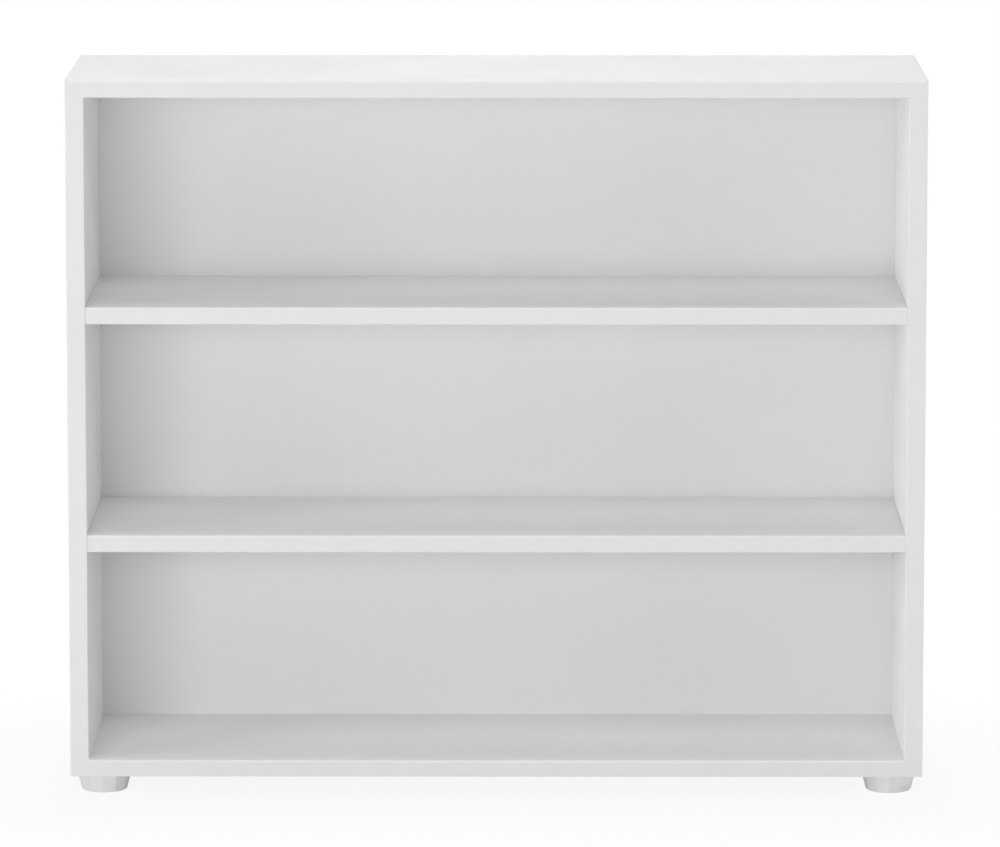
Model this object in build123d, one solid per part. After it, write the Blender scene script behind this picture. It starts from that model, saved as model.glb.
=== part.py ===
from build123d import *
from math import atan2, cos, degrees, pi
import os

# A low open bookcase: a box of white boards with three compartments, two loose shelves and four short
# feet with flat facets. Millimetres, +Z up, the open front faces -Y. The origin is on the floor, under
# the middle of the body. The side panels stand between the top and bottom panels, which span the full
# width. Cam fittings and dowels hold the four corners, the back panel sits in grooves, and each shelf
# rests on four pins.

# Overall size and boards
width = 920.0            # outside of one side panel to the outside of the other
depth = 280.0            # front edges of the body to its rear edges
height = 775.0           # floor to the upper face of the top panel
side_thickness = 20.0
top_thickness = 19.0
bottom_thickness = 18.0
shelf_thickness = 18.0
lower_clear = 227.5      # bottom panel up to the lower shelf
middle_clear = 229.0     # lower shelf up to the upper shelf; the upper compartment takes the rest
top_edge_radius = 4.0    # round-over of the upper front edge of the top panel
board_edge_radius = 3.0  # round-over of the upper front edges of the shelves and the bottom panel
corner_radius = 1.5      # round-over of the outer upright corners and the ends of the top panel
arris_radius = 1.0       # the smaller round-over of lower, inner and rear edges

# Back panel, in a groove that runs all round
back_thickness = 3.0
back_inset = 7.0         # rear edges of the body to the rear face of the back panel
groove_depth = 7.0
back_fit = 0.15          # groove wall to panel, each side
back_end_gap = 1.0       # panel edge to groove floor, at the sides and the top

# Loose shelves
shelf_setback = 1.0      # front of the shelf behind the front of the side panels
shelf_end_gap = 0.2      # shelf end to side panel
shelf_rear_gap = 0.5     # shelf to back panel

# Shelf pins: a round peg in the side panel, and a flat tongue under the shelf
pin_edge_distance = 37.0  # pin axis from the front edge of the body, and from the rear edge of the shelf
pin_radius = 2.5
pin_seat = 9.0           # peg inside the wood
pin_reach = 9.0          # tongue out of the wood
tongue_width = 9.0
tongue_thickness = 2.0
pin_fit = 0.05           # peg to hole, radial
pin_end_gap = 0.5        # peg to the bottom of its hole

# Cam fittings: a cam in the inner face of the side panel grips the ball of a bolt in the next board
fitting_edge_distance = 50.0  # bolt axis from the front and rear edges of the body
cam_reach = 24.0         # end of the side panel to the cam axis
cam_slot_depth = 10.0    # inner face of the side panel to the bolt axis
cam_radius = 7.4
cam_recess = 1.2         # cam below the inner face
cam_length = 12.7
cam_fit = 0.1            # cam to bore, radial and at the bottom
cam_socket_width = 4.0   # hexagon socket, across flats
cam_socket_depth = 4.0
bolt_ball_radius = 3.2
bolt_neck_radius = 2.0
bolt_shank_radius = 3.0
bolt_thread_radius = 2.5
bolt_cover = 7.0         # wood left beyond the thread's hole
bolt_bore_gap = 0.6      # shank to the bore in the end of the side panel, radial
neck_gap = 0.2           # neck to the slot in the cam
thread_fit = 0.05        # thread to its hole, radial
hole_end_gap = 1.0       # end of a thread, dowel or screw to the bottom of its hole

# Cover caps of the cams, let into the bores
cap_proud = 0.15         # face of the cap above the inner face of the side panel
cap_thickness = 1.1
cap_peg_radius = 1.9
cap_peg_length = 2.8
cap_edge = 0.1

# Dowels beside the bolts
dowel_pitch = 32.0       # bolt axis to dowel axis, towards the middle of the board
dowel_radius = 4.0
dowel_length = 30.0
dowel_cover = 7.0        # wood left beyond the dowel's hole
dowel_chamfer = 0.8
dowel_fit = 0.05

# Feet
foot_height = 20.0
foot_facets = 12
foot_top_radius = 29.5   # over the corners of the facets
foot_bottom_radius = 24.2
foot_inset = 35.0        # foot axis from the outer faces of the body, both ways
foot_chamfer = 1.5
foot_recess_radius = 6.0  # recess for the screw head, in the underside
foot_recess_depth = 9.0
foot_hole_radius = 2.3

# Foot screws
screw_radius = 2.0
screw_bite = 12.0        # thread inside the bottom panel
screw_tip = 2.0          # conical end of the thread
screw_tip_radius = 0.5
screw_head_radius = 4.0
screw_head_height = 2.6
screw_head_edge = 1.0
screw_cross_length = 4.4
screw_cross_width = 1.0
screw_cross_depth = 1.3
screw_fit = 0.05

# Levels and faces, worked out from the sizes above
inner_width = width - 2 * side_thickness
bottom_top = foot_height + bottom_thickness
lower_shelf_z = bottom_top + lower_clear
upper_shelf_z = lower_shelf_z + shelf_thickness + middle_clear
top_z = height - top_thickness
front_y = -depth / 2
rear_y = depth / 2
inner_x = inner_width / 2
back_front_y = rear_y - back_inset - back_thickness
shelf_front_y = front_y + shelf_setback
shelf_rear_y = back_front_y - shelf_rear_gap
sides = (-1, 1)

# Places along the joints: (-1, level) is the bottom joint, (1, level) the top joint
joint_levels = ((-1, bottom_top), (1, top_z))
fitting_ys = (front_y + fitting_edge_distance, rear_y - fitting_edge_distance)
dowel_ys = (fitting_ys[0] + dowel_pitch, fitting_ys[1] - dowel_pitch)
pin_ys = (front_y + pin_edge_distance, shelf_rear_y - pin_edge_distance)
foot_xs = (-width / 2 + foot_inset, width / 2 - foot_inset)
foot_ys = (front_y + foot_inset, rear_y - foot_inset)
joint_x = inner_x + cam_slot_depth
board_behind = {-1: bottom_thickness, 1: top_thickness}


def block(x_size, y_low, y_high, z_low, z_high, x_centre=0.0):
    """A box between two depths and two levels."""
    solid = Box(x_size, y_high - y_low, z_high - z_low, align=(Align.CENTER, Align.MIN, Align.MIN))
    return Pos(x_centre, y_low, z_low) * solid


def rod(radius, low, high):
    """A cylinder on the local Z axis between two levels."""
    return Pos(0, 0, low) * Cylinder(radius, high - low, align=(Align.CENTER, Align.CENTER, Align.MIN))


def end_plane(side, y, level, towards):
    """On the joint between a side panel and a board, with local Z running into that board."""
    return Plane(origin=(side * joint_x, y, level), x_dir=(1, 0, 0), z_dir=(0, 0, towards))


def face_plane(side, y, z, towards=1):
    """On the inner face of a side panel, local Z into the wood, local X up (1) or down (-1)."""
    return Plane(origin=(side * inner_x, y, z), x_dir=(0, 0, towards), z_dir=(side, 0, 0))


def front_round_over(level, towards, radius):
    """The waste that rounds a board's front edge between the side panels. The board's face is at
    this level, and the board lies beyond it, towards +Z (1) or -Z (-1)."""
    axis_z = level + towards * radius
    waste = block(inner_width, front_y, front_y + radius, min(level, axis_z), max(level, axis_z))
    return waste - Pos(0, front_y + radius, axis_z) * Rot(0, 90, 0) * Cylinder(radius, inner_width)


def joint_holes(towards, level):
    """Holes for the bolts and dowels in the face of the top (1) or bottom (-1) panel."""
    thickness = board_behind[towards]
    bolt_hole = rod(bolt_thread_radius + thread_fit, 0, thickness - bolt_cover)
    dowel_hole = rod(dowel_radius + dowel_fit, 0, thickness - dowel_cover)
    holes = [end_plane(s, y, level, towards) * bolt_hole for s in sides for y in fitting_ys]
    return holes + [end_plane(s, y, level, towards) * dowel_hole for s in sides for y in dowel_ys]


def back_groove():
    """The ring of space that holds the rim of the back panel, in all four boards."""
    y_low, y_high = back_front_y - back_fit, back_front_y + back_thickness + back_fit
    return block(inner_width + 2 * groove_depth, y_low, y_high, bottom_top - groove_depth,
                 top_z + groove_depth)


def top_panel():
    """The top: rounded above, most of all in front, and square below on the side panels."""
    board = block(width, front_y, rear_y, top_z, height)
    upper_front = board.edges().filter_by(Axis.X).group_by(Axis.Z)[-1].sort_by(Axis.Y)[0]
    board = fillet(upper_front, top_edge_radius)
    ends = board.faces().filter_by(Axis.X)
    board = fillet([edge for end in ends for edge in end.edges().sort_by(Axis.Z)[1:]], corner_radius)
    upper_rear = board.edges().filter_by(Axis.X).group_by(Axis.Y)[-1].sort_by(Axis.Z)[-1]
    board = fillet(upper_rear, arris_radius)
    return board - [back_groove(), front_round_over(top_z, 1, arris_radius)] - joint_holes(1, top_z)


def bottom_panel():
    """The bottom: square above under the side panels, with the screw holes of the feet below."""
    board = block(width, front_y, rear_y, foot_height, bottom_top)
    board = fillet(board.edges().filter_by(Axis.Z), corner_radius)
    board = fillet(board.faces().sort_by(Axis.Z)[0].edges(), arris_radius)
    screw_hole = rod(screw_radius + screw_fit, foot_height, foot_height + screw_bite + hole_end_gap)
    screw_holes = [Pos(x, y, 0) * screw_hole for x in foot_xs for y in foot_ys]
    return board - [back_groove(), front_round_over(bottom_top, -1, board_edge_radius)] \
        - joint_holes(-1, bottom_top) - screw_holes


def side_panel(side):
    """A side panel with its groove, cam bores, bolt and dowel holes in the ends, and pin holes."""
    board = block(side_thickness, front_y, rear_y, bottom_top, top_z,
                  side * (inner_x + side_thickness / 2))
    outer = board.edges().filter_by(Axis.Z).sort_by_distance((0, 0, bottom_top))[2:]
    board = fillet(outer, corner_radius)
    inner_front = board.edges().filter_by(Axis.Z).sort_by_distance((0, front_y, bottom_top))[0]
    board = fillet(inner_front, arris_radius)

    cam_bore = rod(cam_radius + cam_fit, 0, cam_recess + cam_length + cam_fit)
    bolt_bore = rod(bolt_shank_radius + bolt_bore_gap, -cam_reach, 0)
    pin_hole = rod(pin_radius + pin_fit, 0, pin_seat + pin_end_gap)
    cuts = [back_groove()]
    for towards, level in joint_levels:
        in_board = board_behind[towards] - dowel_cover - hole_end_gap
        dowel_hole = rod(dowel_radius + dowel_fit, in_board - dowel_length - hole_end_gap, 0)
        cuts += [end_plane(side, y, level, towards) * bolt_bore for y in fitting_ys]
        cuts += [end_plane(side, y, level, towards) * dowel_hole for y in dowel_ys]
        cuts += [face_plane(side, y, level - towards * cam_reach) * cam_bore for y in fitting_ys]
    for shelf_z in (lower_shelf_z, upper_shelf_z):
        cuts += [face_plane(side, y, shelf_z - pin_radius) * pin_hole for y in pin_ys]
    return board - cuts


def back_panel():
    """The thin back: it stands on the floor of the lower groove, with play at the sides and top."""
    return block(inner_width + 2 * (groove_depth - back_end_gap), back_front_y,
                 back_front_y + back_thickness, bottom_top - groove_depth,
                 top_z + groove_depth - back_end_gap)


def shelf(z_low):
    """A loose shelf. Its upper front edge has the larger round-over."""
    board = block(inner_width - 2 * shelf_end_gap, shelf_front_y, shelf_rear_y, z_low,
                  z_low + shelf_thickness)
    long_edges = board.edges().filter_by(Axis.X).sort_by(Axis.Y)
    upper_front = long_edges[:2].sort_by(Axis.Z)[-1]
    board = fillet(upper_front, board_edge_radius)
    others = [edge for edge in board.edges().filter_by(Axis.X)
              if edge.center().Z < z_low + arris_radius or edge.center().Y > shelf_rear_y - arris_radius]
    return fillet(others, arris_radius)


def shelf_pins(shelf_z):
    """The four pins of one shelf. The shelf rests on the flat tops of their tongues."""
    peg = rod(pin_radius, -pin_reach, pin_seat)
    tongue = Pos(pin_radius, 0, -pin_reach) * Box(
        tongue_thickness, tongue_width, pin_reach, align=(Align.MAX, Align.CENTER, Align.MIN))
    pin = peg + tongue
    return [face_plane(s, y, shelf_z - pin_radius) * pin for s in sides for y in pin_ys]


def cam_locks():
    """Eight cams. Each has a ball seat, the way in for the ball, and a slot for the bolt's neck."""
    seat_radius = bolt_ball_radius + cam_fit
    slot_half = bolt_neck_radius + neck_gap
    socket = Pos(0, 0, cam_recess) * extrude(
        RegularPolygon(cam_socket_width / 2, 6, major_radius=False), cam_socket_depth)
    way_in = Rot(-90, 0, 0) * rod(seat_radius, 0, 2 * cam_radius)
    slot = Box(2 * cam_radius, 2 * cam_radius, 2 * slot_half,
               align=(Align.MIN, Align.MIN, Align.CENTER))
    neck_way = Pos(-slot_half, -slot_half, 0) * slot
    cam = rod(cam_radius, cam_recess, cam_recess + cam_length) - socket
    cam -= Pos(0, 0, cam_slot_depth) * (Sphere(seat_radius) + way_in + neck_way)
    return [face_plane(s, y, level - towards * cam_reach, towards) * cam
            for s in sides for towards, level in joint_levels for y in fitting_ys]


def cam_bolts():
    """Eight bolts, threaded into the top and bottom panels, each with a ball end in a cam."""
    bolts = []
    for towards, level in joint_levels:
        bite = board_behind[towards] - bolt_cover - hole_end_gap
        bolt = (rod(bolt_thread_radius, 0, bite)
                + rod(bolt_shank_radius, cam_radius - cam_reach + cam_fit, 0)
                + rod(bolt_neck_radius, -cam_reach, 0)
                + Pos(0, 0, -cam_reach) * Sphere(bolt_ball_radius))
        bolts += [end_plane(s, y, level, towards) * bolt for s in sides for y in fitting_ys]
    return bolts


def cam_caps():
    """Eight thin caps in the mouths of the bores. A peg holds each one in its cam's socket."""
    disc = rod(cam_radius, -cap_proud, cap_thickness - cap_proud)
    disc = fillet(disc.edges().sort_by(Axis.Z)[0], cap_edge)
    cap = disc + rod(cap_peg_radius, 0, cam_recess + cap_peg_length)
    return [face_plane(s, y, level - towards * cam_reach) * cap
            for s in sides for towards, level in joint_levels for y in fitting_ys]


def dowels():
    """Eight wooden dowels between the ends of the side panels and the top and bottom panels."""
    pins = []
    for towards, level in joint_levels:
        high = board_behind[towards] - dowel_cover - hole_end_gap
        pin = rod(dowel_radius, high - dowel_length, high)
        pin = chamfer(pin.edges().filter_by(GeomType.CIRCLE), dowel_chamfer)
        pins += [end_plane(s, y, level, towards) * pin for s in sides for y in dowel_ys]
    return pins


def foot(x, y):
    """A tapered foot. One corner between its facets points straight forward."""
    facet_run = (foot_top_radius - foot_bottom_radius) * cos(pi / foot_facets)
    spread = degrees(atan2(facet_run, foot_height))
    body = extrude(RegularPolygon(foot_bottom_radius, foot_facets), foot_height, taper=-spread)
    body = chamfer(body.faces().sort_by(Axis.Z)[0].edges(), foot_chamfer)
    body -= rod(foot_recess_radius, 0, foot_recess_depth) + rod(foot_hole_radius, 0, foot_height)
    return Pos(x, y, 0) * body


def foot_screws():
    """Four screws, each from the recess of a foot up into the bottom panel."""
    tip_z = foot_height + screw_bite
    head = rod(screw_head_radius, foot_recess_depth - screw_head_height, foot_recess_depth)
    head = fillet(head.edges().sort_by(Axis.Z)[0], screw_head_edge)
    thread = rod(screw_radius, foot_recess_depth, tip_z - screw_tip)
    tip = Pos(0, 0, tip_z - screw_tip) * Cone(
        screw_radius, screw_tip_radius, screw_tip, align=(Align.CENTER, Align.CENTER, Align.MIN))
    screw = head + thread + tip
    for turn in (0, 90):
        cross = Box(screw_cross_length, screw_cross_width, screw_cross_depth,
                    align=(Align.CENTER, Align.CENTER, Align.MIN))
        screw -= Pos(0, 0, foot_recess_depth - screw_head_height) * Rot(0, 0, turn) * cross
    return [Pos(x, y, 0) * screw for x in foot_xs for y in foot_ys]


parts = {
    "top_panel": top_panel(),
    "bottom_panel": bottom_panel(),
    "left_side_panel": side_panel(-1),
    "right_side_panel": side_panel(1),
    "back_panel": back_panel(),
    "lower_shelf": shelf(lower_shelf_z),
    "upper_shelf": shelf(upper_shelf_z),
    "lower_shelf_pins": Compound(shelf_pins(lower_shelf_z)),
    "upper_shelf_pins": Compound(shelf_pins(upper_shelf_z)),
    "cam_locks": Compound(cam_locks()),
    "cam_bolts": Compound(cam_bolts()),
    "cam_cover_caps": Compound(cam_caps()),
    "corner_dowels": Compound(dowels()),
    "foot_screws": Compound(foot_screws()),
}
for y_name, foot_y in zip(("front", "rear"), foot_ys):
    for x_name, foot_x in zip(("left", "right"), foot_xs):
        parts[f"{y_name}_{x_name}_foot"] = foot(foot_x, foot_y)

os.makedirs("parts", exist_ok=True)
for name, part in parts.items():
    export_step(part, f"parts/{name}.step")
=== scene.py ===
"""Dresses the low open bookcase: white lacquered boards, loose shelves, hardware and a studio."""

import sys
import logging
import math
from dataclasses import dataclass, field
from enum import Enum
from typing import Sequence

import bmesh
import bpy
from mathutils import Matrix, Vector


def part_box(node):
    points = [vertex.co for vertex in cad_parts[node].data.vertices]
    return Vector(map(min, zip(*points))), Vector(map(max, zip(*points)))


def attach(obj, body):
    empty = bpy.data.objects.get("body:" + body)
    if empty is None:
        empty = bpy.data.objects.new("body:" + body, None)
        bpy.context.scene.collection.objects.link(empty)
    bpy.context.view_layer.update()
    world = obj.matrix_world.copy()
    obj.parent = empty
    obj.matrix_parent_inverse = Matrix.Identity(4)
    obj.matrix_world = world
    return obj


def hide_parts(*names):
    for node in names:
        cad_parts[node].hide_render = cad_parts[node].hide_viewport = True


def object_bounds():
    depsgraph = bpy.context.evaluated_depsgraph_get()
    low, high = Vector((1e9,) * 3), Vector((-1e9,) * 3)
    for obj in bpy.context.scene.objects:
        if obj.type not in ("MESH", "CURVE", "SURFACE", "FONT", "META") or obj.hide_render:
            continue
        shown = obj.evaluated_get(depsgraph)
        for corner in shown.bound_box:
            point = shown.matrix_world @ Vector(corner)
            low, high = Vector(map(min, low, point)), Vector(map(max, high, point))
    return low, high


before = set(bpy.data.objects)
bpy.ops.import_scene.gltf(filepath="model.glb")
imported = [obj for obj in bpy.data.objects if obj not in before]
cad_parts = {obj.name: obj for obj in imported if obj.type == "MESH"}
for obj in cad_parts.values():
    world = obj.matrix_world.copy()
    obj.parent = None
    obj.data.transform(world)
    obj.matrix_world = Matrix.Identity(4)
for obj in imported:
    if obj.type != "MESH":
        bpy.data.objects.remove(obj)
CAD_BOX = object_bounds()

LOG = logging.getLogger("bookcase")
MM = 0.001
WELD_DISTANCE = 0.002 * MM
SAME_PLACE = 1e-9
WHITE = (1.0, 1.0, 1.0, 1.0)

Socket = bpy.types.NodeSocket
Pair = tuple[float, float]
Point = tuple[float, float, float]
Colour = tuple[float, float, float]
Source = Socket | float | Point


class Kind(Enum):
    """The kinds of node tree that the script builds."""

    SHADER = "ShaderNodeTree"
    GEOMETRY = "GeometryNodeTree"


# --------------------------------------------------------------------------------------------------
# Node trees


class Weave:
    """Adds and joins the nodes of one tree. The weave of a group also has its two end nodes."""

    start: bpy.types.Node
    end: bpy.types.Node

    def __init__(self, tree: bpy.types.NodeTree) -> None:
        """Starts on a tree.

        Args:
            tree: The tree that takes the nodes.
        """
        self.tree = tree

    @classmethod
    def group(cls, name: str, kind: Kind, inputs: Sequence[tuple],
              outputs: Sequence[tuple]) -> "Weave":
        """Makes a node group with named sockets.

        Args:
            name: The group's name.
            kind: Shader or geometry.
            inputs: A name, a socket type and a default value, or None, for each input.
            outputs: A name and a socket type for each output.

        Returns:
            The weave on the new group.
        """
        tree = bpy.data.node_groups.new(name, kind.value)
        for title, socket, value in inputs:
            made = tree.interface.new_socket(name=title, in_out="INPUT", socket_type=socket)
            if value is not None:
                made.default_value = value
        for title, socket in outputs:
            tree.interface.new_socket(name=title, in_out="OUTPUT", socket_type=socket)
        weave = cls(tree)
        weave.start = weave.add("NodeGroupInput")
        weave.end = weave.add("NodeGroupOutput")
        return weave

    def add(self, kind: str, **settings: object) -> bpy.types.Node:
        """Adds a node.

        Args:
            kind: The node's type name.
            **settings: Properties of the node.

        Returns:
            The node.
        """
        node = self.tree.nodes.new(kind)
        for name, value in settings.items():
            setattr(node, name, value)
        return node

    def feed(self, node: bpy.types.Node, **sources: Source) -> bpy.types.Node:
        """Sets or links a node's inputs.

        Args:
            node: The node.
            **sources: For each input, by its name with _ for a blank or i0, i1 ... for its place, a
                value or an output socket.

        Returns:
            The same node.
        """
        for name, source in sources.items():
            key = int(name[1:]) if name[0] == "i" and name[1:].isdigit() else name.replace("_", " ")
            if isinstance(source, Socket):
                self.tree.links.new(source, node.inputs[key])
            else:
                node.inputs[key].default_value = source
        return node

    def math(self, operation: str, *values: Source) -> Socket:
        """Works out one number from up to three.

        Args:
            operation: The Math node's operation.
            *values: Numbers or output sockets.

        Returns:
            The result's socket.
        """
        node = self.add("ShaderNodeMath", operation=operation)
        return self.feed(node, **{f"i{n}": value for n, value in enumerate(values)}).outputs[0]

    def vector(self, operation: str, *values: Source, output: int = 0) -> Socket:
        """Works out one vector, or a number from vectors.

        Args:
            operation: The Vector Math node's operation.
            *values: Vectors or output sockets.
            output: The place of the wanted output: 1 for a number.

        Returns:
            The result's socket.
        """
        node = self.add("ShaderNodeVectorMath", operation=operation)
        return self.feed(node, **{f"i{n}": value for n, value in enumerate(values)}).outputs[output]

    def ramp(self, value: Source, low: Source, high: Source, at_low: float = 0.0,
             at_high: float = 1.0) -> Socket:
        """Maps a range smoothly on to another.

        Args:
            value: The number to map.
            low: Where the range starts.
            high: Where the range ends.
            at_low: The result at the start.
            at_high: The result at the end.

        Returns:
            The result's socket.
        """
        node = self.add("ShaderNodeMapRange", interpolation_type="SMOOTHSTEP", clamp=True)
        return self.feed(node, i0=value, i1=low, i2=high, i3=at_low, i4=at_high).outputs[0]

    def noise(self, place: Socket, scale: Source, detail: float, roughness: float) -> Socket:
        """Adds a noise pattern.

        Args:
            place: The coordinates.
            scale: Cycles for one metre.
            detail: Octaves.
            roughness: Weight of the finer octaves.

        Returns:
            The pattern's value, about 0.5 on average.
        """
        node = self.add("ShaderNodeTexNoise", noise_dimensions="3D")
        self.feed(node, Vector=place, Scale=scale, Detail=detail, Roughness=roughness)
        return node.outputs[0]

    def stretched_noise(self, place: Socket, scale: Socket | Point, detail: float,
                        roughness: float) -> Socket:
        """Adds a noise pattern with a scale of its own along each axis.

        Args:
            place: The coordinates.
            scale: Cycles for one metre along X, Y and Z.
            detail: Octaves.
            roughness: Weight of the finer octaves.

        Returns:
            The pattern's value, about 0.5 on average.
        """
        return self.noise(self.vector("MULTIPLY", place, scale), 1.0, detail, roughness)

    def cycles(self, size: Socket, count: float = 1.0) -> Socket:
        """Cycles for one metre, if count of them fill one size."""
        return self.math("DIVIDE", count, size)

    def place(self) -> Socket:
        """The Object coordinates, in metres."""
        return self.add("ShaderNodeTexCoord").outputs["Object"]


@dataclass(frozen=True)
class Effects:
    """The surface effects that several finishes share, each a shader node group built once."""

    groups: dict[str, bpy.types.NodeTree] = field(default_factory=dict)

    def get(self, name: str) -> bpy.types.NodeTree:
        """Gives an effect, and builds it at its first use.

        Args:
            name: One of the methods' names below.

        Returns:
            The node group.
        """
        if name not in self.groups:
            self.groups[name] = getattr(self, name)()
        return self.groups[name]

    @staticmethod
    def sprayed_film() -> bpy.types.NodeTree:
        """The faint orange peel of sprayed lacquer, and the clouding of its gloss."""
        finer, fine_share = 3.7, 0.22
        w = Weave.group("Sprayed film", Kind.SHADER,
                        [("Peel size", "NodeSocketFloat", 2.2 * MM),
                         ("Cloud size", "NodeSocketFloat", 90.0 * MM)],
                        [("Height", "NodeSocketFloat"), ("Cloud", "NodeSocketFloat")])
        place, sizes = w.place(), w.start.outputs
        peel = w.noise(place, w.cycles(sizes["Peel size"]), detail=1.5, roughness=0.4)
        fine = w.noise(place, w.cycles(sizes["Peel size"], finer), detail=1.0, roughness=0.5)
        cloud = w.noise(place, w.cycles(sizes["Cloud size"]), detail=3.0, roughness=0.55)
        w.feed(w.end, Height=w.math("MULTIPLY_ADD", fine, fine_share, peel),
               Cloud=w.ramp(cloud, low=0.3, high=0.7))
        return w.tree

    @staticmethod
    def rounded_edges() -> bpy.types.NodeTree:
        """A mask on the rounded edges of a board, where no axis is square to the surface."""
        patch_scale = 42.0
        w = Weave.group("Rounded edges", Kind.SHADER,
                        [("Start", "NodeSocketFloat", 0.995), ("Full", "NodeSocketFloat", 0.93),
                         ("Patchiness", "NodeSocketFloat", 0.5)],
                        [("Mask", "NodeSocketFloat")])
        sizes = w.start.outputs
        facing = w.vector("ABSOLUTE", w.add("ShaderNodeTexCoord").outputs["Normal"])
        x, y, z = w.feed(w.add("ShaderNodeSeparateXYZ"), i0=facing).outputs
        squarest = w.math("MAXIMUM", w.math("MAXIMUM", x, y), z)
        bent = w.ramp(squarest, sizes["Full"], sizes["Start"], at_low=1.0, at_high=0.0)
        pattern = w.noise(w.place(), patch_scale, detail=3.0, roughness=0.6)
        patches = w.ramp(pattern, low=0.35, high=0.65)
        kept = w.math("SUBTRACT", 1.0, w.math("MULTIPLY", patches, sizes["Patchiness"]))
        w.feed(w.end, Mask=w.math("MULTIPLY", bent, kept))
        return w.tree

    @staticmethod
    def settled_dust() -> bpy.types.NodeTree:
        """A thin veil of dust on faces that look up."""
        drift_scale, speck_share, upwards = 13.0, 0.5, (0.0, 0.0, 1.0)
        w = Weave.group("Settled dust", Kind.SHADER,
                        [("Amount", "NodeSocketFloat", 0.3),
                         ("Speck size", "NodeSocketFloat", 1.2 * MM)],
                        [("Veil", "NodeSocketFloat")])
        sizes = w.start.outputs
        normal = w.add("ShaderNodeNewGeometry").outputs["Normal"]
        up = w.ramp(w.vector("DOT_PRODUCT", normal, upwards, output=1), low=0.75, high=0.98)
        place = w.place()
        drift = w.ramp(w.noise(place, drift_scale, detail=4.0, roughness=0.6), low=0.38, high=0.72)
        pattern = w.noise(place, w.cycles(sizes["Speck size"]), detail=2.0, roughness=0.7)
        specks = w.ramp(pattern, low=0.52, high=0.78)
        drifted = w.math("MULTIPLY", drift, 1.0 - speck_share)
        veil = w.math("MULTIPLY", w.math("MULTIPLY_ADD", specks, speck_share, drifted), up)
        w.feed(w.end, Veil=w.math("MULTIPLY", veil, sizes["Amount"]))
        return w.tree

    @staticmethod
    def spark_grain() -> bpy.types.NodeTree:
        """The fine matt grain that an eroded mould leaves on plastic."""
        pit_share, tone_scale = 0.6, 55.0
        w = Weave.group("Spark grain", Kind.SHADER,
                        [("Grain size", "NodeSocketFloat", 0.5 * MM)],
                        [("Height", "NodeSocketFloat"), ("Tone", "NodeSocketFloat")])
        place = w.place()
        scale = w.cycles(w.start.outputs["Grain size"])
        pits = w.feed(w.add("ShaderNodeTexVoronoi", feature="SMOOTH_F1"), Vector=place, Scale=scale)
        rough = w.noise(place, scale, detail=3.0, roughness=0.6)
        w.feed(w.end, Height=w.math("MULTIPLY_ADD", pits.outputs["Distance"], pit_share, rough),
               Tone=w.noise(place, tone_scale, detail=3.0, roughness=0.6))
        return w.tree

    @staticmethod
    def drawn_metal() -> bpy.types.NodeTree:
        """Fine lines along one direction, with a cloudy tarnish."""
        tarnish_scale = 260.0
        w = Weave.group("Drawn metal", Kind.SHADER,
                        [("Stretch", "NodeSocketVector", (40.0, 1500.0, 1500.0))],
                        [("Lines", "NodeSocketFloat"), ("Tarnish", "NodeSocketFloat")])
        place = w.place()
        lines = w.stretched_noise(place, w.start.outputs["Stretch"], detail=3.0, roughness=0.6)
        cloud = w.noise(place, tarnish_scale, detail=3.0, roughness=0.6)
        w.feed(w.end, Lines=lines, Tarnish=w.ramp(cloud, low=0.35, high=0.7))
        return w.tree


# --------------------------------------------------------------------------------------------------
# Finishes


@dataclass(frozen=True)
class Finish:
    """A surface finish. Each subclass weaves the nodes of its own material.

    bump_depth is in metres for a height of 1, and bump_strength goes from 0 to 1.
    """

    effects: Effects
    slot: str
    bump_depth: float = 0.02 * MM
    bump_strength: float = 0.5

    def material(self, name: str) -> bpy.types.Material:
        """Makes the material.

        Args:
            name: What the material is called after its slot.

        Returns:
            The material.
        """
        made = bpy.data.materials.new(f"{self.slot}.{name}")
        made.use_nodes = True
        made.node_tree.nodes.clear()
        w = Weave(made.node_tree)
        shader = w.add("ShaderNodeBsdfPrincipled")
        w.feed(w.add("ShaderNodeOutputMaterial"), Surface=shader.outputs[0])
        self.weave(w, shader)
        return made

    def weave(self, w: Weave, shader: bpy.types.Node) -> None:
        """Joins the finish's own nodes to the shader.

        Args:
            w: The weave on the material's tree.
            shader: The Principled BSDF.
        """
        raise NotImplementedError

    def effect(self, w: Weave, name: str, **values: Source) -> bpy.types.NodeOutputs:
        """Places a shared effect in a material.

        Args:
            w: The weave on the material's tree.
            name: The effect.
            **values: Its inputs.

        Returns:
            The outputs of the group's node.
        """
        node = w.add("ShaderNodeGroup", node_tree=self.effects.get(name))
        return w.feed(node, **values).outputs

    @staticmethod
    def blend(w: Weave, mask: Source, under: Socket | Colour, over: Colour) -> Socket:
        """Lays a colour over another by a mask.

        Args:
            w: The weave on the material's tree.
            mask: From 0 to 1.
            under: The colour where the mask is 0, or its socket.
            over: The colour where the mask is 1.

        Returns:
            The colour's socket.
        """
        lower = under if isinstance(under, Socket) else (*under, 1.0)
        node = w.add("ShaderNodeMix", data_type="RGBA")
        return w.feed(node, i0=mask, i6=lower, i7=(*over, 1.0)).outputs[2]

    def bump(self, w: Weave, shader: bpy.types.Node, height: Socket) -> None:
        """Gives the shader the finish's bump.

        Args:
            w: The weave on the material's tree.
            shader: The Principled BSDF.
            height: The height pattern's socket.
        """
        node = w.feed(w.add("ShaderNodeBump"), Height=height, Distance=self.bump_depth,
                      Strength=self.bump_strength)
        w.feed(shader, Normal=node.outputs[0])


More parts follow.
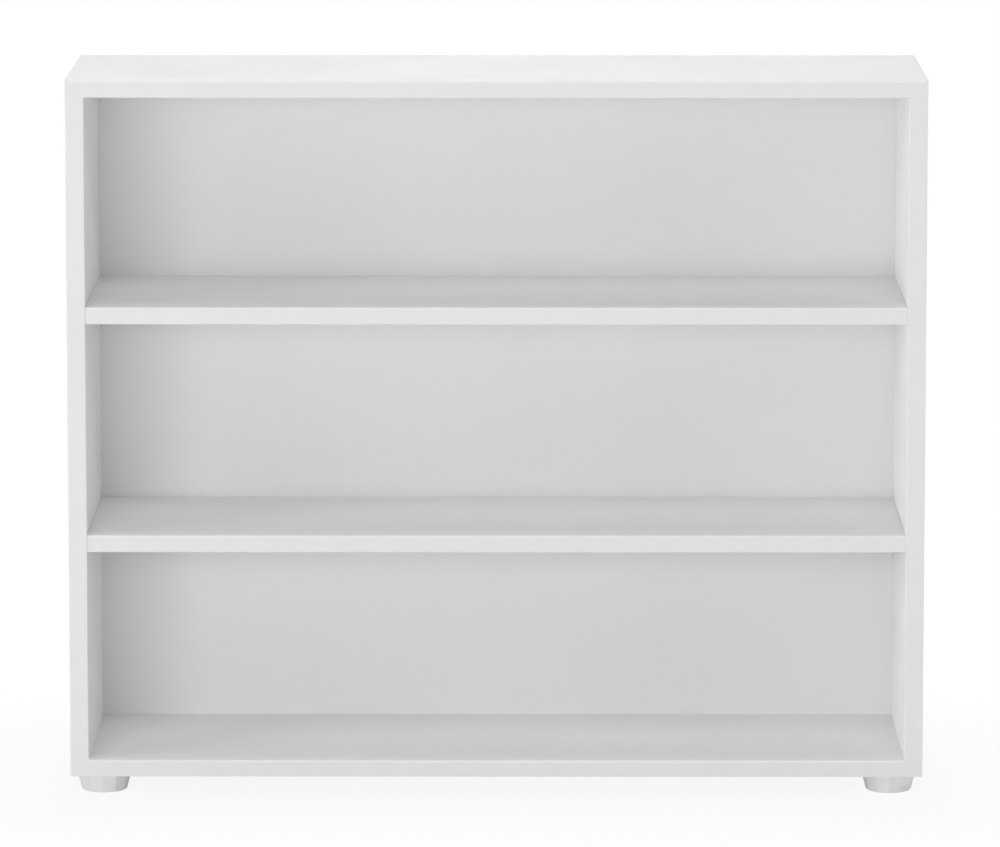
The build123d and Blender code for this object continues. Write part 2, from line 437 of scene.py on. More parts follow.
@dataclass(frozen=True)
class SprayedPaint(Finish):
    """What the painted finishes share: a matt body under a low sheen."""

    ior: float = 1.48
    sheen: float = 0.2
    body_roughness: float = 1.0

    def coat(self, w: Weave, shader: bpy.types.Node) -> None:
        """Sets the shader's constants.

        Args:
            w: The weave on the material's tree.
            shader: The Principled BSDF.
        """
        w.feed(shader, IOR=self.ior, Specular_IOR_Level=self.sheen,
               Diffuse_Roughness=self.body_roughness)


@dataclass(frozen=True)
class Lacquer(SprayedPaint):
    """Satin sprayed lacquer: faint peel, clouded gloss, glossy edges with a painted highlight,
    dust.
    """

    colour: Colour = (0.944, 0.943, 0.935)
    shade: Colour = (0.934, 0.933, 0.925)
    # The lighter colour of the painted highlight on the rounded edges.
    painted_edge_highlight: Colour = (0.985, 0.984, 0.973)
    dust: Colour = (0.86, 0.855, 0.84)
    roughness: float = 0.55
    cloud_roughness: float = 0.05
    edge_roughness: float = -0.25
    dust_roughness: float = 0.8
    edge_patchiness: float = 0.2
    dust_amount: float = 0.08
    bump_depth: float = 0.008 * MM
    bump_strength: float = 0.6

    def weave(self, w: Weave, shader: bpy.types.Node) -> None:
        """Joins the lacquer's nodes: clouds, edges and dust change its colour and gloss."""
        film = self.effect(w, "sprayed_film")
        edges = self.effect(w, "rounded_edges", Patchiness=self.edge_patchiness)["Mask"]
        veil = self.effect(w, "settled_dust", Amount=self.dust_amount)["Veil"]
        base = self.blend(w, film["Cloud"], self.shade, self.colour)
        # The rounded edges are painted lighter here: a painted highlight.
        highlighted_base = self.blend(w, edges, base, self.painted_edge_highlight)
        w.feed(shader, Base_Color=self.blend(w, veil, highlighted_base, self.dust))
        gloss = w.math("MULTIPLY_ADD", film["Cloud"], self.cloud_roughness, self.roughness)
        polished = w.math("MULTIPLY_ADD", edges, self.edge_roughness, gloss)
        w.feed(shader, Roughness=w.math("MULTIPLY_ADD", veil, self.dust_roughness, polished))
        self.coat(w, shader)
        self.bump(w, shader, film["Height"])


@dataclass(frozen=True)
class BackSheet(SprayedPaint):
    """Thin lacquered hardboard, with a trace of its pressed fibres under the film."""

    colour: Colour = (0.955, 0.955, 0.950)
    shade: Colour = (0.945, 0.945, 0.940)
    roughness: float = 0.62
    peel_size: float = 1.6 * MM
    cloud_size: float = 160.0 * MM
    fibre_scale: Point = (380.0, 380.0, 160.0)
    fibre_roughness: float = 0.12
    fibre_height: float = 0.8
    bump_depth: float = 0.010 * MM

    def weave(self, w: Weave, shader: bpy.types.Node) -> None:
        """Joins the back's nodes: the fibres change its gloss and lift its film."""
        film = self.effect(w, "sprayed_film", Peel_size=self.peel_size, Cloud_size=self.cloud_size)
        fibres = w.stretched_noise(w.place(), self.fibre_scale, detail=4.0, roughness=0.65)
        gloss = w.math("MULTIPLY_ADD", fibres, self.fibre_roughness, self.roughness)
        w.feed(shader, Base_Color=self.blend(w, film["Cloud"], self.shade, self.colour),
               Roughness=gloss)
        self.coat(w, shader)
        self.bump(w, shader, w.math("MULTIPLY_ADD", fibres, self.fibre_height, film["Height"]))


@dataclass(frozen=True)
class MouldedPlastic(Finish):
    """White moulded plastic with a fine mould grain and lightly scuffed low parts."""

    colour: Colour = (0.965, 0.965, 0.955)
    shade: Colour = (0.945, 0.945, 0.935)
    scuffed: Colour = (0.70, 0.69, 0.67)
    ior: float = 1.5
    roughness: float = 0.42
    tone_roughness: float = 0.12
    scuff_level: float = 0.0
    scuff_height: float = 3.0 * MM
    scuff_scale: float = 900.0

    def weave(self, w: Weave, shader: bpy.types.Node) -> None:
        """Joins the plastic's nodes: the tone changes its gloss, and scuffs lie near the floor."""
        grain = self.effect(w, "spark_grain")
        place = w.place()
        z = w.feed(w.add("ShaderNodeSeparateXYZ"), i0=place).outputs[2]
        low = w.ramp(z, 0.0, self.scuff_height, at_low=self.scuff_level, at_high=0.0)
        pattern = w.noise(place, self.scuff_scale, detail=3.0, roughness=0.6)
        scuffs = w.math("MULTIPLY", low, w.ramp(pattern, low=0.45, high=0.62))
        base = self.blend(w, grain["Tone"], self.shade, self.colour)
        gloss = w.math("MULTIPLY_ADD", grain["Tone"], self.tone_roughness, self.roughness)
        w.feed(shader, Base_Color=self.blend(w, scuffs, base, self.scuffed), Roughness=gloss,
               IOR=self.ior)
        self.bump(w, shader, grain["Height"])


@dataclass(frozen=True)
class PlatedSteel(Finish):
    """Plated steel with drawn lines and a little tarnish."""

    colour: Colour = (0.70, 0.70, 0.71)
    tarnish: Colour = (0.50, 0.50, 0.50)
    tarnish_level: float = 0.35
    stretch: Point = (60.0, 2600.0, 2600.0)
    roughness: float = 0.24
    line_roughness: float = 0.22
    bump_depth: float = 0.01 * MM
    bump_strength: float = 0.4

    def weave(self, w: Weave, shader: bpy.types.Node) -> None:
        """Joins the steel's nodes: the lines change its gloss, and the tarnish its colour."""
        drawn = self.effect(w, "drawn_metal", Stretch=self.stretch)
        mask = w.math("MULTIPLY", drawn["Tarnish"], self.tarnish_level)
        gloss = w.math("MULTIPLY_ADD", drawn["Lines"], self.line_roughness, self.roughness)
        w.feed(shader, Base_Color=self.blend(w, mask, self.colour, self.tarnish), Metallic=1.0,
               Roughness=gloss)
        self.bump(w, shader, drawn["Lines"])


@dataclass(frozen=True)
class CastZinc(Finish):
    """Blank die-cast zinc, dull and slightly pitted."""

    colour: Colour = (0.60, 0.60, 0.62)
    dull: Colour = (0.42, 0.42, 0.44)
    roughness: float = 0.35
    tone_roughness: float = 0.25
    grain_size: float = 0.35 * MM
    bump_strength: float = 0.6

    def weave(self, w: Weave, shader: bpy.types.Node) -> None:
        """Joins the zinc's nodes: the tone of the casting changes its colour and gloss."""
        grain = self.effect(w, "spark_grain", Grain_size=self.grain_size)
        gloss = w.math("MULTIPLY_ADD", grain["Tone"], self.tone_roughness, self.roughness)
        w.feed(shader, Base_Color=self.blend(w, grain["Tone"], self.dull, self.colour),
               Metallic=1.0, Roughness=gloss)
        self.bump(w, shader, grain["Height"])


@dataclass(frozen=True)
class RawBeech(Finish):
    """Turned beech: pale, with long pores and dark flecks along the grain."""

    colour: Colour = (0.72, 0.55, 0.37)
    dark: Colour = (0.52, 0.36, 0.21)
    grain_scale: Point = (900.0, 900.0, 60.0)
    fleck_scale: Point = (2200.0, 2200.0, 260.0)
    roughness: float = 0.55
    grain_roughness: float = 0.2
    bump_depth: float = 0.05 * MM

    def weave(self, w: Weave, shader: bpy.types.Node) -> None:
        """Joins the beech's nodes: it is dark where flecks and dense grain meet."""
        place = w.place()
        grain = w.stretched_noise(place, self.grain_scale, detail=4.0, roughness=0.6)
        flecks = w.stretched_noise(place, self.fleck_scale, detail=2.0, roughness=0.6)
        mask = w.math("MULTIPLY", w.ramp(grain, low=0.4, high=0.7),
                      w.ramp(flecks, low=0.35, high=0.7))
        gloss = w.math("MULTIPLY_ADD", grain, self.grain_roughness, self.roughness)
        w.feed(shader, Base_Color=self.blend(w, mask, self.colour, self.dark), Roughness=gloss)
        self.bump(w, shader, flecks)


# --------------------------------------------------------------------------------------------------
# Mesh helpers


def finished_object(name: str, mesh: bpy.types.Mesh, angle: float = 35.0) -> bpy.types.Object:
    """Shows a mesh as an object at the origin.

    Args:
        name: The object's name.
        mesh: Its mesh.
        angle: Edges sharper than this many degrees stay sharp.

    Returns:
        The object.
    """
    mesh.shade_smooth()
    mesh.set_sharp_from_angle(angle=math.radians(angle))
    made = bpy.data.objects.new(name, mesh)
    bpy.context.scene.collection.objects.link(made)
    return made


def close_and_turn_out(work: bmesh.types.BMesh, name: str) -> bpy.types.Mesh:
    """Welds doubles, turns the faces outwards and writes the mesh.

    Args:
        work: The mesh in the making, which is freed.
        name: The mesh's name.

    Returns:
        The mesh.
    """
    bmesh.ops.remove_doubles(work, verts=work.verts, dist=WELD_DISTANCE)
    bmesh.ops.recalc_face_normals(work, faces=work.faces)
    mesh = bpy.data.meshes.new(name)
    work.to_mesh(mesh)
    work.free()
    return mesh


def loft(rings: Sequence[Sequence[Point]], work: bmesh.types.BMesh) -> None:
    """Joins closed rings of equally many points with faces.

    Args:
        rings: The rings, in order.
        work: The mesh that takes them.
    """
    rows = [[work.verts.new(point) for point in ring] for ring in rings]
    for low, high in zip(rows, rows[1:]):
        for n in range(len(low)):
            m = (n + 1) % len(low)
            if (low[n].co - low[m].co).length < SAME_PLACE:
                work.faces.new((low[n], high[m], high[n]))
            elif (high[n].co - high[m].co).length < SAME_PLACE:
                work.faces.new((low[n], low[m], high[n]))
            else:
                work.faces.new((low[n], low[m], high[m], high[n]))


def turned(profile: Sequence[Pair], steps: int) -> list[list[Point]]:
    """Rings of a turned shape about the X axis.

    Args:
        profile: Radius and place along X for each ring.
        steps: Points on one ring.

    Returns:
        The rings.
    """
    turns = [2 * math.pi * n / steps for n in range(steps)]
    return [[(x, radius * math.cos(turn), radius * math.sin(turn)) for turn in turns]
            for radius, x in profile]


def arc(centre: Pair, radius: float, start: float, end: float, steps: int) -> list[Pair]:
    """Points on an arc.

    Args:
        centre: The arc's centre.
        radius: Its radius.
        start: The first angle in degrees.
        end: The last angle in degrees.
        steps: How many spans.

    Returns:
        The points, first and last included.
    """
    turns = [math.radians(start + (end - start) * n / steps) for n in range(steps + 1)]
    return [(centre[0] + radius * math.cos(turn), centre[1] + radius * math.sin(turn))
            for turn in turns]


# --------------------------------------------------------------------------------------------------
# Repeats by geometry nodes


@dataclass
class CornerSet:
    """Puts copies of a small piece at the corners of a rectangle, in one or more levels.

    The piece is modelled for the right-hand side. On the left it can be turned half round.
    """

    width: float
    depth: float
    centre: Point
    rows: int = 1
    pitch: float = 0.0
    turn_left: bool = True
    spin: float = 0.0
    seed: int = 7

    @staticmethod
    def tree() -> bpy.types.NodeTree:
        """Gives the tree of all corner sets, and builds it at its first use."""
        name = "Corner set"
        if name in bpy.data.node_groups:
            return bpy.data.node_groups[name]
        w = Weave.group(name, Kind.GEOMETRY,
                        [("Piece", "NodeSocketGeometry", None), ("Width", "NodeSocketFloat", 1.0),
                         ("Depth", "NodeSocketFloat", 1.0), ("Centre", "NodeSocketVector", None),
                         ("Rows", "NodeSocketInt", 1), ("Pitch", "NodeSocketFloat", 0.0),
                         ("Half turn on the left", "NodeSocketFloat", math.pi),
                         ("Spin", "NodeSocketFloat", 0.0), ("Seed", "NodeSocketInt", 0),
                         ("Finish", "NodeSocketMaterial", None)],
                        [("Set", "NodeSocketGeometry")])
        sizes = w.start.outputs
        grid = w.feed(w.add("GeometryNodeMeshGrid"), Size_X=sizes["Width"], Size_Y=sizes["Depth"],
                      Vertices_X=2, Vertices_Y=2)
        step = w.feed(w.add("ShaderNodeCombineXYZ"), Z=sizes["Pitch"])
        line = w.feed(w.add("GeometryNodeMeshLine", mode="OFFSET"), Count=sizes["Rows"],
                      Start_Location=sizes["Centre"], Offset=step.outputs[0])
        levels = w.feed(w.add("GeometryNodeInstanceOnPoints"), Points=line.outputs[0],
                        Instance=grid.outputs["Mesh"])
        corners = w.feed(w.add("GeometryNodeRealizeInstances"), Geometry=levels.outputs[0])
        x = w.feed(w.add("ShaderNodeSeparateXYZ"),
                   i0=w.add("GeometryNodeInputPosition").outputs[0]).outputs[0]
        turn = w.math("MULTIPLY", w.math("LESS_THAN", x, 0.0), sizes["Half turn on the left"])
        about_z = w.feed(w.add("ShaderNodeCombineXYZ"), Z=turn)
        placed = w.feed(w.add("GeometryNodeInstanceOnPoints"), Points=corners.outputs[0],
                        Instance=sizes["Piece"], Rotation=about_z.outputs[0])
        chance = w.feed(w.add("FunctionNodeRandomValue", data_type="FLOAT"), i3=sizes["Spin"],
                        i2=w.math("MULTIPLY", sizes["Spin"], -1.0), Seed=sizes["Seed"])
        about_x = w.feed(w.add("ShaderNodeCombineXYZ"), X=chance.outputs[1])
        spun = w.feed(w.add("GeometryNodeRotateInstances"), Instances=placed.outputs[0],
                      Rotation=about_x.outputs[0], Local_Space=True)
        real = w.feed(w.add("GeometryNodeRealizeInstances"), Geometry=spun.outputs[0])
        done = w.feed(w.add("GeometryNodeSetMaterial"), Geometry=real.outputs[0],
                      Material=sizes["Finish"])
        w.feed(w.end, Set=done.outputs[0])
        return w.tree

    def make(self, name: str, piece: bpy.types.Mesh,
             finish: bpy.types.Material) -> bpy.types.Object:
        """Makes the whole set as one plain mesh.

        Args:
            name: The object's name.
            piece: The small piece, at the origin.
            finish: Its material.

        Returns:
            The object.
        """
        carrier = bpy.data.objects.new(name + "_source", piece)
        bpy.context.scene.collection.objects.link(carrier)
        modifier = carrier.modifiers.new("Corner set", "NODES")
        modifier.node_group = self.tree()
        values = {"Width": self.width, "Depth": self.depth, "Centre": self.centre,
                  "Rows": self.rows, "Pitch": self.pitch,
                  "Half turn on the left": math.pi if self.turn_left else 0.0,
                  "Spin": self.spin, "Seed": self.seed, "Finish": finish}
        for item in modifier.node_group.interface.items_tree:
            if item.in_out == "INPUT" and item.name in values:
                modifier[item.identifier] = values[item.name]
        bpy.context.view_layer.update()
        evaluated = carrier.evaluated_get(bpy.context.evaluated_depsgraph_get())
        mesh = bpy.data.meshes.new_from_object(evaluated)
        mesh.name = name
        carrier.modifiers.remove(modifier)
        bpy.data.objects.remove(carrier)
        return finished_object(name, mesh)


# --------------------------------------------------------------------------------------------------
# The bookcase


@dataclass
class Piece:
    """A sub-assembly: it makes or finds its objects and gives them their finish."""

    effects: Effects
    body: str = "carcass"

    def build(self) -> None:
        """Builds the sub-assembly and reports it."""
        raise NotImplementedError

    def dress_node(self, node: str, finish: bpy.types.Material) -> None:
        """Puts a material on a node of the frame.

        Args:
            node: The node's name.
            finish: The material.
        """
        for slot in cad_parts[node].material_slots:
            slot.material = finish
        LOG.info("%-20s %s", node, finish.name)

    def fit(self, made: bpy.types.Object, slot: str, *nodes: str) -> None:
        """Lets a made piece stand for nodes of the frame.

        Args:
            made: The piece.
            slot: The record's material slot; not used.
            *nodes: The nodes that it stands for.
        """
        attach(made, self.body)
        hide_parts(*nodes)
        LOG.info("%-20s %d faces for %s", made.name, len(made.data.polygons), ", ".join(nodes))


@dataclass
class Boards(Piece):
    """The lacquered boards of the body, and the two loose shelves."""

    names: tuple[str, ...] = ("top_panel", "bottom_panel", "left_side_panel", "right_side_panel",
                              "lower_shelf", "upper_shelf")

    def build(self) -> None:
        """Gives all the boards the same lacquer."""
        sprayed = Lacquer(self.effects, "board_lacquer").material("sprayed")
        for name in self.names:
            self.dress_node(name, sprayed)


@dataclass
class Back(Piece):
    """The thin back panel."""

    def build(self) -> None:
        """Gives the back its finish."""
        self.dress_node("back_panel", BackSheet(self.effects, "back_lacquer").material("sheet"))


@dataclass
class Feet(Piece):
    """Four tapered feet with flat facets, moulded in one piece with a screw recess."""

    facets: int = 12
    top_radius: float = 29.5 * MM
    bottom_radius: float = 24.2 * MM
    height: float = 20.0 * MM
    corner_round: float = 0.6 * MM
    bottom_round: float = 2.0 * MM
    recess_radius: float = 6.0 * MM
    recess_depth: float = 9.0 * MM
    recess_edge: float = 0.4 * MM
    hole_radius: float = 2.3 * MM
    groove_radius: float = 14.5 * MM
    groove_width: float = 1.6 * MM
    groove_depth: float = 0.6 * MM
    groove_slope: float = 0.2 * MM
    scuff_level: float = 0.25
    nodes: tuple[str, ...] = ("front_left_foot", "front_right_foot", "rear_left_foot",
                              "rear_right_foot")

    def ring(self, radius: float, z: float, roundness: float) -> list[Point]:
        """One level of the foot, a polygon with small rounded corners.

        Args:
            radius: Over the corners.
            z: The level.
            roundness: The corners' radius; a large one makes a circle.

        Returns:
            Four points for each corner, counter-clockwise from the corner at the front.
        """
        half = math.pi / self.facets
        bend = min(roundness, radius * math.cos(half))
        away = radius - bend / math.cos(half)
        points = []
        for n in range(self.facets):
            turn = -math.pi / 2 + 2 * half * n
            for share in (-1.0, -1 / 3, 1 / 3, 1.0):
                points.append((away * math.cos(turn) + bend * math.cos(turn + share * half),
                               away * math.sin(turn) + bend * math.sin(turn + share * half), z))
        return points

    def foot(self) -> bpy.types.Mesh:
        """Models one foot at the origin.

        Returns:
            The mesh, closed, with the screw's way through it.
        """
        taper = (self.top_radius - self.bottom_radius) / self.height
        lip = arc((self.bottom_radius - self.bottom_round, self.bottom_round), self.bottom_round,
                  start=-90.0, end=-15.0, steps=4)
        facets = [(r + taper * z, z) for r, z in lip] + [(self.top_radius, self.height)]
        groove_end = self.groove_radius + self.groove_width
        screw_way = [(self.hole_radius, self.height), (self.hole_radius, self.recess_depth),
                     (self.recess_radius, self.recess_depth),
                     (self.recess_radius, self.recess_edge),
                     (self.recess_radius + self.recess_edge, 0.0)]
        groove = [(self.groove_radius, 0.0),
                  (self.groove_radius + self.groove_slope, self.groove_depth),
                  (groove_end, self.groove_depth), (groove_end + self.groove_slope, 0.0)]
        rings = [self.ring(r, z, roundness=r) for r, z in screw_way + groove]
        rings += [self.ring(r, z, self.corner_round) for r, z in facets]
        work = bmesh.new()
        loft(rings + [rings[0]], work)
        return close_and_turn_out(work, "foot")

    def build(self) -> None:
        """Makes the four feet as one set, at the places that the frame gives."""
        low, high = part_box("front_left_foot")
        far_low, far_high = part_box("rear_right_foot")
        first, last = (low + high) / 2, (far_low + far_high) / 2
        middle = (first + last) / 2
        plastic = MouldedPlastic(self.effects, "foot_plastic", scuff_level=self.scuff_level)
        corners = CornerSet(last.x - first.x, last.y - first.y, (middle.x, middle.y, low.z),
                            turn_left=False)
        made = corners.make("feet", self.foot(), plastic.material("moulded"))
        self.fit(made, "foot_plastic", *self.nodes)


@dataclass
class CoverCaps(Piece):
    """Thin plastic caps in the mouths of the cam bores, each with a nick for a screwdriver.

    dish_profile holds shares of the radius and of the dish's depth, and nick_profile a point of the
    ring and its share of the nick's depth.
    """

    radius: float = 7.4 * MM
    thickness: float = 1.1 * MM
    proud: float = 0.15 * MM
    edge: float = 0.12 * MM
    rim_width: float = 0.264 * MM
    dish: float = 0.12 * MM
    dish_profile: tuple[Pair, ...] = ((0.0, 1.0), (0.4, 0.86), (0.7, 0.5))
    peg_radius: float = 1.9 * MM
    peg_length: float = 4.0 * MM
    peg_edge: float = 0.35 * MM
    nick: float = 0.7 * MM
    nick_profile: tuple[tuple[int, float], ...] = ((-1, 0.6), (0, 1.0), (1, 0.6))
    steps: int = 48
    spin: float = 0.9

    def cap(self) -> bpy.types.Mesh:
        """Models one cap. The panel's face is at x = 0 and the peg runs along +X.

        Returns:
            The mesh.
        """
        face, rear = -self.proud, self.thickness - self.proud
        front = [(self.radius * reach, face + self.dish * depth)
                 for reach, depth in self.dish_profile]
        front.append((self.radius - self.rim_width, face))
        side = arc((self.radius - self.edge, face + self.edge), self.edge, start=-90.0, end=0.0,
                   steps=4)
        side.append((self.radius, rear))
        peg = [(self.peg_radius, rear), (self.peg_radius, self.peg_length - self.peg_edge),
               (self.peg_radius - self.peg_edge, self.peg_length), (0.0, self.peg_length)]
        rings = turned(front + side + peg, self.steps)
        for ring in rings[len(front):-len(peg)]:
            for n, share in self.nick_profile:
                x, y, z = ring[n]
                pull = 1.0 - self.nick / self.radius * share
                ring[n] = (x, y * pull, z * pull)
        work = bmesh.new()
        loft(rings, work)
        return close_and_turn_out(work, "cover_cap")

    def build(self) -> None:
        """Makes the eight caps as one set."""
        low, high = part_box("cam_cover_caps")
        depth = high.y - low.y - 2 * self.radius
        height = high.z - low.z - 2 * self.radius
        width = high.x - low.x - 2 * self.peg_length
        centre = ((low.x + high.x) / 2, (low.y + high.y) / 2, low.z + self.radius)
        corners = CornerSet(width, depth, centre, rows=2, pitch=height, spin=self.spin)
        plastic = MouldedPlastic(self.effects, "cap_plastic").material("moulded")
        self.fit(corners.make("cover_caps", self.cap(), plastic), "cap_plastic", "cam_cover_caps")


@dataclass
class ShelfPins(Piece):
    """Plated pins: a round peg, and a flat tongue with a tapered rib below it, for the shelf.

    nose_profile holds the radius and the length of the rib's nose, as shares of rib_nose.
    """

    peg_radius: float = 2.5 * MM
    peg_length: float = 9.0 * MM
    rib_length: float = 6.6 * MM
    rib_nose: float = 0.7 * MM
    nose_profile: tuple[Pair, ...] = ((0.0, 0.0), (0.7, 0.3), (1.0, 1.0))
    tongue_length: float = 9.0 * MM
    tongue_width: float = 9.0 * MM
    tongue_thickness: float = 2.0 * MM
    tongue_corner: float = 2.6 * MM
    corner_steps: int = 6
    ease: float = 0.25 * MM
    steps: int = 32
    shelves: tuple[str, ...] = ("lower_shelf", "upper_shelf")

    def outline(self, inset: float) -> list[Pair]:
        """The tongue's outline seen from above.

        Args:
            inset: How far inside the full outline.

        Returns:
            The points, from the collar round the nose and back.
        """
        r = self.tongue_corner - inset
        nose, half = -self.tongue_length + inset + r, self.tongue_width / 2 - inset - r
        return [(-inset, -half - r), *arc((nose, -half), r, 270.0, 180.0, self.corner_steps),
                *arc((nose, half), r, 180.0, 90.0, self.corner_steps), (-inset, half + r)]

    def pin(self) -> bpy.types.Mesh:
        """Models one pin. The side panel's face is at x = 0, and the peg runs along +X.

        Returns:
            The mesh. The shelf rests on the tongue, one peg radius above the pin's axis.
        """
        high = self.peg_radius
        low, ease = high - self.tongue_thickness, self.ease
        levels = [(ease, low), (0.0, low + ease), (0.0, high - ease), (ease, high)]
        work = bmesh.new()
        rings = [[(x, y, z) for x, y in self.outline(inset)] for inset, z in levels]
        loft(rings, work)
        for ring in (rings[0], rings[-1]):
            work.faces.new([work.verts.new(point) for point in ring])
        rib = [(self.rib_nose * radius, self.rib_nose * length - self.rib_length)
               for radius, length in self.nose_profile]
        rib.append((self.peg_radius - ease, -ease))
        peg = [(self.peg_radius, 0.0), (self.peg_radius, self.peg_length - 2 * ease),
               (self.peg_radius - 2 * ease, self.peg_length), (0.0, self.peg_length)]
        loft(turned(rib + peg, self.steps), work)
        return close_and_turn_out(work, "shelf_pin")

    def build(self) -> None:
        """Makes the four pins of each shelf as one set."""
        steel = PlatedSteel(self.effects, "pin_steel").material("drawn")
        for shelf in self.shelves:
            low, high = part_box(shelf + "_pins")
            width = high.x - low.x - 2 * self.peg_length
            depth = high.y - low.y - self.tongue_width
            corners = CornerSet(width, depth, tuple((low + high) / 2))
            made = corners.make(f"pins_of_{shelf}", self.pin(), steel)
            self.fit(made, "pin_steel", shelf + "_pins")


@dataclass
class JointHardware(Piece):
    """What holds the body together, most of it inside the boards."""

    bolt_stretch: Point = (2600.0, 2600.0, 60.0)
    screw_stretch: Point = (1800.0, 1800.0, 900.0)

    def build(self) -> None:
        """Gives the cams, bolts, screws and dowels their finishes."""
        bolts = PlatedSteel(self.effects, "bolt_steel", stretch=self.bolt_stretch)
        screws = PlatedSteel(self.effects, "screw_steel", stretch=self.screw_stretch)
        self.dress_node("cam_locks", CastZinc(self.effects, "cam_zinc").material("cast"))
        self.dress_node("cam_bolts", bolts.material("turned"))
        self.dress_node("foot_screws", screws.material("plated"))
        self.dress_node("corner_dowels", RawBeech(self.effects, "dowel_beech").material("turned"))


# --------------------------------------------------------------------------------------------------
# The studio


@dataclass(frozen=True)
class SoftLamp:
    """A round soft lamp that looks at the bookcase, and isn't seen itself."""

    name: str
    azimuth: float
    elevation: float
    power: float
    size: float = 1.9
    distance: float = 5.0

    def hang(self, target: Vector) -> None:
        """Makes the lamp.

        Args:
            target: The point that it looks at.
        """
        a, e = math.radians(self.azimuth), math.radians(self.elevation)
        back = Vector((math.sin(a) * math.cos(e), -math.cos(a) * math.cos(e), math.sin(e)))
        light = bpy.data.lights.new(self.name, "AREA")
        light.shape, light.size, light.energy = "DISK", self.size, self.power
        lamp = bpy.data.objects.new(self.name, light)
        bpy.context.scene.collection.objects.link(lamp)
        lamp.location = target + back * self.distance
        lamp.rotation_mode = "QUATERNION"
        lamp.rotation_quaternion = back.to_track_quat("Z", "Y")
        lamp.visible_camera = False


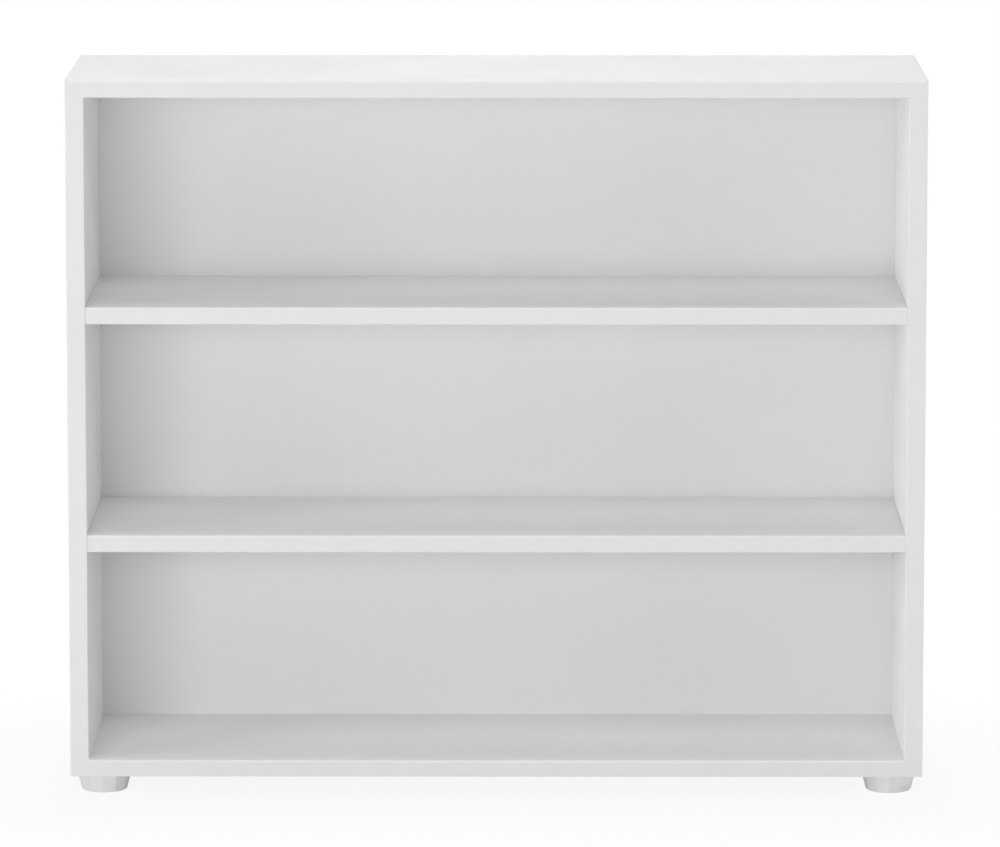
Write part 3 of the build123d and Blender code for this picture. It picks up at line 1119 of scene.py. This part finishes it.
@dataclass
class Studio:
    """The floor, the white surroundings, the lamps and the camera."""

    floor_radius: float = 9.0
    floor_steps: int = 96
    floor_colour: Colour = (0.8, 0.8, 0.8)
    shadow_share: float = 0.09
    shadow_reach: float = 0.42
    ambient: float = 0.12
    lens: float = 259.5
    sensor_width: float = 36.0
    clip: Pair = (0.1, 100.0)
    camera_place: Point = (0.03099, -7.78363, 1.52930)
    camera_pitch: float = 8.3636
    camera_yaw: float = -0.20198
    lamps: tuple[SoftLamp, ...] = (
        SoftLamp("front", azimuth=0.0, elevation=3.5, power=34.0),
        SoftLamp("front_left", azimuth=-17.0, elevation=3.5, power=52.5),
        SoftLamp("left", azimuth=-72.0, elevation=2.7, power=30.0),
        SoftLamp("high_left", azimuth=-56.0, elevation=22.0, power=21.5),
        SoftLamp("right", azimuth=56.0, elevation=4.0, power=15.0),
        SoftLamp("far_right", azimuth=96.0, elevation=4.0, power=30.0),
        SoftLamp("high_front", azimuth=12.0, elevation=45.0, power=23.0),
        SoftLamp("overhead", azimuth=0.0, elevation=90.0, power=56.0, size=2.4),
        SoftLamp("rear", azimuth=180.0, elevation=40.0, power=131.0, size=2.6),
    )

    @staticmethod
    def seen_plainly(w: Weave) -> Socket:
        """1 for camera, glossy and transmission rays, and 0 for the others."""
        rays = w.add("ShaderNodeLightPath").outputs
        some = w.math("MAXIMUM", rays["Is Camera Ray"], rays["Is Glossy Ray"])
        return w.math("MAXIMUM", some, rays["Is Transmission Ray"])

    def surroundings(self) -> None:
        """The world: white to look at, and an even soft light on the object."""
        world = bpy.data.worlds.new("surroundings")
        bpy.context.scene.world = world
        world.use_nodes = True
        world.node_tree.nodes.clear()
        w = Weave(world.node_tree)
        light = w.feed(w.add("ShaderNodeBackground"), Color=WHITE, Strength=self.ambient)
        white = w.feed(w.add("ShaderNodeBackground"), Color=WHITE, Strength=1.0)
        mix = w.feed(w.add("ShaderNodeMixShader"), i0=self.seen_plainly(w), i1=light.outputs[0],
                     i2=white.outputs[0])
        w.feed(w.add("ShaderNodeOutputWorld"), Surface=mix.outputs[0])

    def floor_paint(self) -> bpy.types.Material:
        """The floor's paint: white to look at, with a share of the shadow near the bookcase.

        Returns:
            The material.
        """
        paint = bpy.data.materials.new("floor.pale")
        paint.use_nodes = True
        paint.node_tree.nodes.clear()
        w = Weave(paint.node_tree)
        matt = w.feed(w.add("ShaderNodeBsdfDiffuse"), Color=(*self.floor_colour, 1.0))
        white = w.feed(w.add("ShaderNodeEmission"), Strength=1.0)
        corner = (CAD_BOX[1].x, CAD_BOX[1].y, 0.0)
        outside = w.vector("SUBTRACT", w.vector("ABSOLUTE", w.place()), corner)
        away = w.vector("LENGTH", w.vector("MAXIMUM", outside, (0.0, 0.0, 0.0)), output=1)
        share = w.ramp(away, 0.0, self.shadow_reach, at_low=1.0 - self.shadow_share)
        mix = w.feed(w.add("ShaderNodeMixShader"), i1=matt.outputs[0], i2=white.outputs[0],
                     i0=w.math("MULTIPLY", share, self.seen_plainly(w)))
        w.feed(w.add("ShaderNodeOutputMaterial"), Surface=mix.outputs[0])
        return paint

    def floor(self) -> None:
        """A plain pale floor that takes the soft shadow of the bookcase."""
        work = bmesh.new()
        bmesh.ops.create_circle(work, cap_ends=True, segments=self.floor_steps,
                                radius=self.floor_radius)
        mesh = bpy.data.meshes.new("floor")
        work.to_mesh(mesh)
        work.free()
        floor = bpy.data.objects.new("floor", mesh)
        bpy.context.scene.collection.objects.link(floor)
        floor.data.materials.append(self.floor_paint())

    def camera(self) -> None:
        """The camera, a long lens from the front and a little above."""
        data = bpy.data.cameras.new("camera")
        data.lens, data.sensor_width = self.lens, self.sensor_width
        data.clip_start, data.clip_end = self.clip
        camera = bpy.data.objects.new("camera", data)
        bpy.context.scene.collection.objects.link(camera)
        camera.location = self.camera_place
        tilt, turn = math.radians(90.0 - self.camera_pitch), math.radians(-self.camera_yaw)
        camera.rotation_euler = (tilt, 0.0, turn)
        bpy.context.scene.camera = camera

    def build(self) -> None:
        """Sets up the whole studio."""
        low, high = CAD_BOX
        self.surroundings()
        self.floor()
        for lamp in self.lamps:
            lamp.hang((low + high) / 2)
        self.camera()
        bpy.context.scene.view_settings.view_transform = "Standard"
        LOG.info("studio with %d lamps", len(self.lamps))


def main() -> None:
    """Builds the bookcase and its studio."""
    logging.basicConfig(level=logging.INFO, format="%(message)s", stream=sys.stdout)
    effects = Effects()
    for piece in (Boards, Back, Feet, CoverCaps, ShelfPins, JointHardware):
        piece(effects).build()
    Studio().build()


if __name__ == "__main__":
    main()
